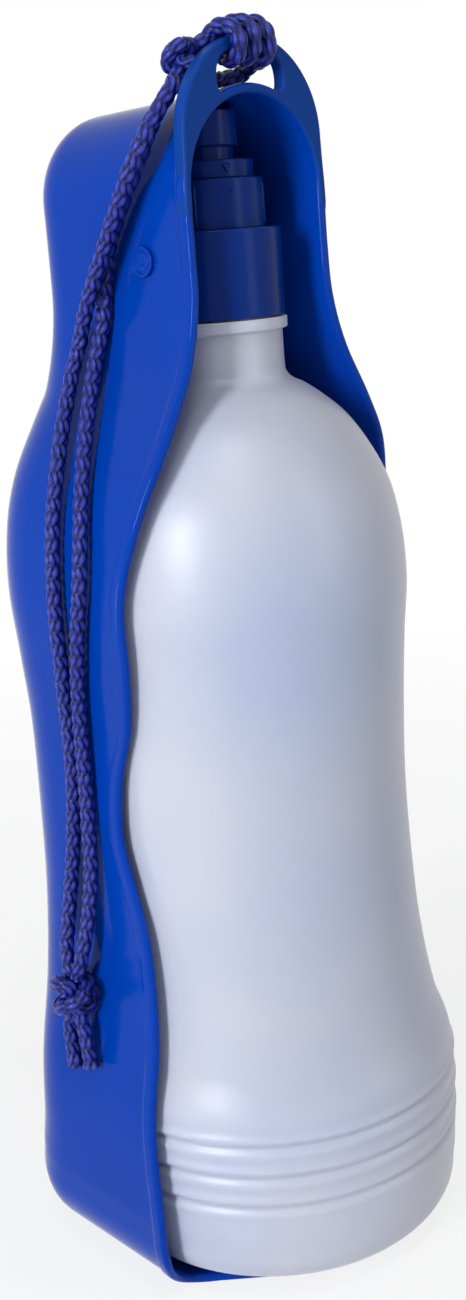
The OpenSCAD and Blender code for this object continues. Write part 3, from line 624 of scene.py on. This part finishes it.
def turned(name, profile, around=160, along_x=False, closed=True):
    """A profile of (radius, height) carried round the Z axis, or round the pivot's X axis. Its
    points on the axis are welded."""
    profile = np.asarray(profile, float)
    a = np.linspace(0, 2 * np.pi, around, endpoint=False)[:, None]
    r, h = profile[:, 0][None], profile[:, 1][None]
    x, y, z = r * np.cos(a), r * np.sin(a), np.broadcast_to(h, (around, len(profile)))
    points = np.stack([z, x, y + pivot_z] if along_x else [x, y, z], axis=-1)
    return mesh_piece(name, points.reshape(-1, 3),
                      grid_faces(around, len(profile), wrap_rows=True, wrap_columns=closed), weld=True)


def bottle_profile():
    """The bottle's section: up the outside from the middle of its base, over the neck's bead and
    its top, and down the inside 1 mm in."""
    a = np.radians(np.linspace(0, 90, 12))
    flat_r = base_r - foot_in - foot_r
    foot = np.stack([flat_r + foot_r * np.sin(a), base_z + foot_r - foot_r * np.cos(a)], axis=1)
    z = np.linspace(base_z + foot_r, shoulder_z, 250)[1:]
    side = np.stack([through(side_stations, z) + rib(z), z], axis=1)
    t = np.linspace(0, 1, 60)[1:]
    drop = through(shoulder_drop, 0.0376 * t) * (shoulder_r - neck_r - 0.001) / 0.0196
    dome = np.stack([shoulder_r - drop, shoulder_z + shoulder_rise * t], axis=1)
    neck = eased_corners(
        [dome[-1], [neck_r + 0.0001, 0.1752], [neck_r, 0.1775], [neck_r, neck_top - 0.0024],
         [bead_r, neck_top - 0.0020], [bead_r, neck_top], [finish_r, neck_top],
         [finish_r, finish_top], [finish_r - finish_wall, finish_top]],
        [0.0006, 0.0012, 0.0002, 0.0002, 0.0003, 0.0001, 0.0004])
    dent = eased_corners([[0, base_z + 0.0015], [flat_r - 0.0026, base_z + 0.0015],
                          [flat_r - 0.0018, base_z], foot[0]], [0.0006, 0.0003])
    inner_r = foot_r - bottle_wall
    inner_z = z[z > base_z + foot_r + 0.001][::4]
    inner_foot = np.stack([flat_r + inner_r * np.sin(a), base_z + foot_r - inner_r * np.cos(a)], axis=1)[3:]
    below_ribs = 0.0007 * (inner_z < 0.0425)
    inner_side = np.stack([through(side_stations, inner_z) - bottle_wall - below_ribs, inner_z], axis=1)
    inner = np.vstack([[0, base_z + 0.0025], [flat_r - 0.002, base_z + 0.0025], inner_foot, inner_side,
                       dome[:-2] - [bottle_wall, 0.0007], [neck_r - bottle_wall, 0.174],
                       [neck_r - bottle_wall, 0.1832], [finish_r - finish_wall, 0.1852]])
    return np.vstack([dent, foot[1:], side, dome, neck[1:], inner[::-1]])


def pearl_plastic():
    """Pearly milk-white polyethylene: lavender and blue-grey clouds, a soft satin gloss, light that goes a
    few millimetres in, a patch of deeper blue on its front that is a painted reflection of the blue trough,
    and a few dark specks."""
    material, wire, shader = new_material("bottle_pearl")
    place = wire.add("ShaderNodeTexCoord", pick=3)
    cloud = wire.add("ShaderNodeTexNoise", {}, {"Vector": place, "Scale": 16.0, "Detail": 3.0})
    grain = wire.add("ShaderNodeTexNoise", {}, {"Vector": place, "Scale": 900.0, "Detail": 3.0})
    milky = wire.add("ShaderNodeValToRGB", {"stops": [
        (0.30, (0.43, 0.47, 0.62)), (0.52, (0.50, 0.52, 0.62)), (0.72, (0.56, 0.55, 0.62))]}, {0: cloud})
    # Painted reflection: a soft patch of deeper blue round one point on the bottle's front stands in for
    # the blue trough reflected there.
    from_painted_reflection = wire.add("ShaderNodeVectorMath", {"operation": "DISTANCE"},
                          {0: place, 1: (-0.014, -0.030, 0.128)}, pick=1)
    painted_reflection = wire.add("ShaderNodeMapRange", {"interpolation_type": "SMOOTHSTEP"},
                     {0: from_painted_reflection, 1: 0.006, 2: 0.036, 3: 0.8, 4: 0.0})
    colour = blend_colour(wire, painted_reflection, milky, (0.36, 0.43, 0.62))
    speck_size, speck_share = 0.016, 0.20
    from_speck = wire.add("ShaderNodeTexVoronoi", {}, {"Vector": place, "Scale": 42.0})
    cell = wire.add("ShaderNodeTexVoronoi", {}, {"Vector": place, "Scale": 42.0}, pick=1)
    chosen = wire.add("ShaderNodeSeparateColor", {}, {0: cell})
    speck = (speck_size - from_speck > 0) * (chosen > 1 - speck_share)
    bump = wire.add("ShaderNodeBump", {}, {"Strength": 0.15, "Distance": 0.00003, "Height": grain})
    feed(shader, Base_Color=blend_colour(wire, speck, colour, (0.12, 0.11, 0.12)),
         Roughness=cloud * 0.10 + 0.33, Normal=bump, Subsurface_Weight=0.35,
         Subsurface_Radius=(0.004, 0.004, 0.005), Subsurface_Scale=1.0, Sheen_Weight=0.1,
         Sheen_Roughness=0.4)
    return material


bottle = turned("bottle_body", bottle_profile(), around=144)
finished(bottle, pearl_plastic(), "bottle", "bottle")


# Screw cap: moulded in satin navy plastic. Its skirt goes over the bottle's neck, two short bosses
# carry the pivot pins, and the valve housing snaps into its deck.
def navy_plastic():
    """Satin navy polypropylene with a fine moulded grain, faint clouds and a few light rub marks."""
    material, wire, shader = new_material("cap_navy")
    place = wire.add("ShaderNodeTexCoord", pick=3)
    cloud = wire.add("ShaderNodeTexNoise", {}, {"Vector": place, "Scale": 60.0, "Detail": 3.0})
    grain = wire.add("ShaderNodeTexNoise", {}, {"Vector": place, "Scale": 2200.0, "Detail": 2.0})
    drawn = wire.add("ShaderNodeMapping", {}, {0: place, 3: (900.0, 900.0, 60.0)})
    rub = wire.add("ShaderNodeTexNoise", {}, {"Vector": drawn, "Scale": 1.0, "Detail": 3.0})
    colour = blend_colour(wire, cloud, (0.002, 0.019, 0.15), (0.003, 0.028, 0.20))
    rubbed = blend_colour(wire, (rub > 0.70) * 0.25, colour, (0.02, 0.05, 0.24))
    bump = wire.add("ShaderNodeBump", {}, {"Strength": 0.35, "Distance": 0.00003, "Height": grain})
    feed(shader, Base_Color=rubbed, Roughness=cloud * 0.10 + 0.20, Specular_IOR_Level=0.08, Normal=bump)
    return material


navy = navy_plastic()
cap_r, cap_low, cap_top, bore_r, skirt_r = 0.0128, 0.1855, 0.2012, 0.0107, 0.0115
deck, deck_hole = 0.0016, 0.00955
boss_r, boss_in, boss_out, boss_pin_r = 0.0032, 0.0118, 0.0147, 0.0017


def joined(name, pieces):
    """One mesh object out of several, in the place of the first."""
    whole = bmesh.new()
    for piece in pieces:
        whole.from_mesh(piece.data)
    whole.to_mesh(pieces[0].data)
    whole.free()
    for piece in pieces[1:]:
        bpy.data.objects.remove(piece)
    pieces[0].name = name
    return pieces[0]


cap_ring = eased_corners(
    [[skirt_r, cap_low], [cap_r, cap_low], [cap_r, cap_top], [deck_hole, cap_top],
     [deck_hole, cap_top - deck], [bore_r, cap_top - deck], [bore_r, cap_low], [skirt_r, cap_low]],
    [0.0003, 0.0006, 0.0002, 0.0001, 0.0001, 0.0003])


def with_supports(profile, near=0.00012):
    """Adds a point close to each end of every long straight run, so that smooth shading stays flat."""
    profile = np.asarray(profile)
    out = [profile[:1]]
    for a, b in zip(profile[:-1], profile[1:]):
        length = np.linalg.norm(b - a)
        if length > 4 * near:
            out.append(np.stack([a + (b - a) * near / length, b - (b - a) * near / length]))
        out.append(b[None])
    return np.vstack(out)


cap_body = turned("cap_body", with_supports(cap_ring)[:-1])
bosses = []
for side in (-1, 1):
    boss = with_supports(eased_corners(
        [[0, side * boss_in], [boss_r, side * boss_in], [boss_r, side * boss_out],
         [boss_pin_r, side * boss_out], [0, side * boss_out]], [0.0001, 0.0004, 0]))
    bosses.append(turned("boss", boss, around=64, along_x=True, closed=False))
finished(joined("screw_cap", [cap_body, *bosses]), navy, "cap", "cap")


# Valve housing: the middle ring, snapped into the cap's deck. It has four thin grip ribs and a small
# dot that the mark on the nozzle's collar points to.
housing_r, housing_top, housing_low, step_r = 0.0102, 0.2099, 0.19885, 0.0095
stem_bore_r, stem_floor, seat_gap = 0.00495, 0.2020, 0.00005
grip_ring_r, grip_r, grip_h, grip_turns = 0.01005, 0.0004, 0.0073, (32, 122, 212, 302)
mark = np.radians(-19)
housing_ring = eased_corners(
    [[stem_bore_r, stem_floor], [stem_bore_r, housing_top], [housing_r, housing_top],
     [housing_r, cap_top + seat_gap], [step_r, cap_top + seat_gap], [step_r, housing_low],
     [0, housing_low]], [0.0002, 0.0005, 0.0001, 0.0001, 0.0002])
housing = turned("housing_ring", with_supports(np.vstack([[0, stem_floor], housing_ring])), closed=False)


def grip_rib(degrees):
    """An upright round bar half sunk in the housing at an angle from +Y, with eased, closed ends."""
    a = np.radians(degrees)
    round_a = np.linspace(0, 2 * np.pi, 16, endpoint=False)
    height = np.array([0, 0, 0.0004, grip_h - 0.0004, grip_h, grip_h])
    radius = np.array([0, grip_r / 2, grip_r, grip_r, grip_r / 2, 0])[:, None]
    x = -np.sin(a) * grip_ring_r + radius * np.cos(round_a)
    y = np.cos(a) * grip_ring_r + radius * np.sin(round_a)
    z = np.broadcast_to((cap_top + 0.0004 + height)[:, None], x.shape)
    return mesh_piece("rib", np.stack([x, y, z], axis=-1).reshape(-1, 3),
                      grid_faces(6, 16, wrap_columns=True), weld=True)


def raised_dot(name, radius, height, out, z, azimuth):
    """A low round dot standing out from a cylinder round Z, at an azimuth from the front."""
    t = np.linspace(0, np.pi / 2, 6)
    ring = np.linspace(0, 2 * np.pi, 24, endpoint=False)
    r = radius * np.cos(t)[:, None]
    u, w = r * np.cos(ring), r * np.sin(ring)
    d = out - 0.0001 + height * np.sin(t)[:, None] + 0 * u
    turn_x, turn_y = np.cos(azimuth), np.sin(azimuth)
    points = np.stack([turn_x * u + turn_y * d, turn_y * u - turn_x * d, z + w], axis=-1)
    return mesh_piece(name, points.reshape(-1, 3), grid_faces(6, 24, wrap_columns=True), weld=True)


ribs = [grip_rib(degrees) for degrees in grip_turns]
dot = raised_dot("dot", radius=0.0004, height=0.0003, out=housing_r, z=housing_top - 0.0022, azimuth=mark)
finished(joined("valve_housing_ring", [housing, *ribs, dot]), navy, "cap", "valve_housing")


# Nozzle: its stem turns in the housing, with a collar and a round spout that the water leaves by.
# A small raised triangle on the collar shows which way it is turned.
knob_z, nozzle_z, nozzle_top, stem_low, bore_low = 0.20995, 0.21315, 0.22175, 0.2053, 0.2093
collar_r, nozzle_r, foot_groove_r, stem_r, nozzle_bore_r = 0.0086, 0.0061, 0.0052, 0.0049, 0.0024
knob_ring = eased_corners(
    [[nozzle_bore_r, bore_low], [nozzle_bore_r, nozzle_top], [nozzle_r, nozzle_top],
     [nozzle_r, nozzle_z + 0.0026], [nozzle_r - 0.0003, nozzle_z + 0.0023],
     [foot_groove_r, nozzle_z + 0.0023], [foot_groove_r, nozzle_z], [collar_r, nozzle_z],
     [collar_r, knob_z], [stem_r, knob_z], [stem_r, stem_low], [0, stem_low]],
    [0.0003, 0.0004, 0.0001, 0.0001, 0.0002, 0.0003, 0.0005, 0.0002, 0.0001, 0.0002])
knob = turned("knob_ring", with_supports(np.vstack([[0, bore_low], knob_ring])), closed=False)
tri = np.array([[0, 0], [0.0009, 0.0015], [-0.0009, 0.0015]])
shrink = np.array([1.0, 1.0, 0.75])
outs = np.array([0.0080, 0.00875, 0.0089])
centre = tri.mean(axis=0)
stack = np.vstack([np.column_stack([(tri - centre) * f + centre, np.full(3, d)])
                   for f, d in zip(shrink, outs)])
tri_points = np.stack([np.cos(mark) * stack[:, 0] + np.sin(mark) * stack[:, 2],
                       np.sin(mark) * stack[:, 0] - np.cos(mark) * stack[:, 2],
                       knob_z + 0.0008 + stack[:, 1]], axis=1)
triangle = mesh_piece("triangle", tri_points, list(grid_faces(3, 3, wrap_columns=True)) + [[6, 7, 8]])
triangle.data.polygons.foreach_set("use_smooth", np.zeros(len(triangle.data.polygons), bool))
finished(joined("turning_nozzle", [knob, triangle]), navy, "knob", "nozzle_knob")


# Pivot pins: pressed into the cap's bosses through the trough's sides. Outside, each shows a round
# head with a groove in its face and a dimple in the middle.
head, head_r, shank_r, shank_in = 0.0168, 0.0027, 0.0017, 0.0112
for side, node in ((-1, "pivot_pin_left"), (1, "pivot_pin_right")):
    face = eased_corners(
        [[0, head + 0.00030], [0.0005, head + 0.00032], [0.0008, head + 0.00062], [0.0016, head + 0.00062],
         [0.0018, head + 0.00040], [0.0020, head + 0.00040], [0.0022, head + 0.00074],
         [head_r, head + 0.00074], [head_r, head + 0.00015], [shank_r, head + 0.00015],
         [shank_r, shank_in], [0, shank_in]],
        [0.0002, 0.0001, 0.0001, 0.0001, 0.0001, 0.0001, 0.0002, 0.0001, 0.0001, 0.0002]) * [1, side]
    pin = turned(node + "_head", face, around=72, along_x=True, closed=False)
    finished(pin, trough_blue, "cap", node)


# Seals inside the valve: a soft grey rubber disc, O-ring and neck gasket, as the CAD gives them.
def seal_rubber():
    """Grey silicone rubber: dull, with a faint cloud and a dusting of fine bumps."""
    material, wire, shader = new_material("seal_rubber")
    place = wire.add("ShaderNodeTexCoord", pick=3)
    cloud = wire.add("ShaderNodeTexNoise", {}, {"Vector": place, "Scale": 300.0, "Detail": 3.0})
    bump = wire.add("ShaderNodeBump", {}, {"Strength": 0.3, "Distance": 0.00005, "Height": cloud})
    feed(shader, Base_Color=blend_colour(wire, cloud, (0.26, 0.27, 0.29), (0.34, 0.35, 0.37)),
         Roughness=cloud * 0.2 + 0.55, Normal=bump)
    return material


rubber = seal_rubber()
for node in ("nozzle_oring", "valve_seal", "collar_gasket"):
    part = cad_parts[node]
    part.data.materials.clear()
    part.data.materials.append(rubber)


# Floor and light: a plain pale floor and an even white surround, a tall soft lamp at the left, a weaker
# one at the front right, one from above and a small one at the back of the left wall.
def directly_seen(wire):
    """1 for a ray from the camera, or one reflected or passed through a piece, and 0 for the rest."""
    camera_ray = wire.add("ShaderNodeLightPath", pick=0)
    mirrored_ray = wire.add("ShaderNodeLightPath", pick=3)
    passed_ray = wire.add("ShaderNodeLightPath", pick=6)
    return wire.math("MAXIMUM", wire.math("MAXIMUM", camera_ray, mirrored_ray), passed_ray)


def plain_ground():
    """White matt paint that the camera sees at full white, apart from the object's shadow."""
    material, wire, shader = new_material("floor_white")
    feed(shader, Base_Color=(0.86, 0.86, 0.87, 1), Roughness=0.9)
    glow = wire.add("ShaderNodeEmission", {}, {"Color": (1, 1, 1, 1), "Strength": 1.0})
    place = wire.add("ShaderNodeTexCoord", pick=3)
    away = wire.add("ShaderNodeVectorMath", {"operation": "LENGTH"}, {0: place}, pick=1)
    far = wire.add("ShaderNodeMapRange", {}, {0: away, 1: 0.10, 2: 0.50, 3: 0.80, 4: 1.0})
    mix = wire.add("ShaderNodeMixShader", {},
                   {0: directly_seen(wire) * far, 1: Wire(wire.tree, shader.outputs[0]), 2: glow})
    output = [n for n in wire.tree.nodes if n.type == "OUTPUT_MATERIAL"][0]
    wire.tree.links.new(mix.out, output.inputs[0])
    return material


floor = mesh_piece("floor", [[-6, -6, 0], [6, -6, 0], [6, 6, 0], [-6, 6, 0]], [[0, 1, 2, 3]])
floor.data.materials.append(plain_ground())

world = bpy.data.worlds.new("surround")
world.use_nodes = True
world.node_tree.nodes.clear()
sky = Wire(world.node_tree)
lit = sky.add("ShaderNodeBackground", {}, {"Color": (0.95, 0.97, 1.0, 1), "Strength": 0.22})
white = sky.add("ShaderNodeBackground", {}, {"Color": (1, 1, 1, 1), "Strength": 1.0})
both = sky.add("ShaderNodeMixShader", {}, {0: directly_seen(sky), 1: lit, 2: white})
sky.add("ShaderNodeOutputWorld", {}, {0: both})
bpy.context.scene.world = world


def softbox(name, place, aim, width, height, power, tint=(1, 1, 1)):
    """An area lamp of that width and height in metres at a place, turned to face the point it is
    aimed at."""
    data = bpy.data.lights.new(name, "AREA")
    data.shape, data.size, data.size_y = "RECTANGLE", width, height
    data.energy, data.color = power, tint
    lamp = bpy.data.objects.new(name, data)
    back = np.array(place) - np.array(aim)
    back /= np.linalg.norm(back)
    side = np.cross([0, 0, 1], back)
    side /= np.linalg.norm(side)
    pose = np.eye(4)
    pose[:3, 0], pose[:3, 1], pose[:3, 2], pose[:3, 3] = side, np.cross(back, side), back, place
    lamp.matrix_world = Matrix(pose.tolist())
    bpy.context.scene.collection.objects.link(lamp)


softbox("key", (-0.90, -0.17, 0.36), (0, 0, 0.12), width=0.16, height=0.40, power=7.4,
        tint=(0.94, 0.96, 1.0))
softbox("fill", (0.35, -0.95, 0.45), (0, 0, 0.12), width=0.22, height=0.80, power=2.0,
        tint=(1.0, 0.98, 0.95))
softbox("top", (-0.3, -0.4, 1.0), (0, 0, 0.15), width=0.25, height=0.25, power=1.8)
softbox("window", (-0.34, 0.32, 0.06), (-0.035, 0.012, 0.16), width=0.06, height=0.09, power=0.20)

bpy.context.scene.view_settings.view_transform = "Standard"
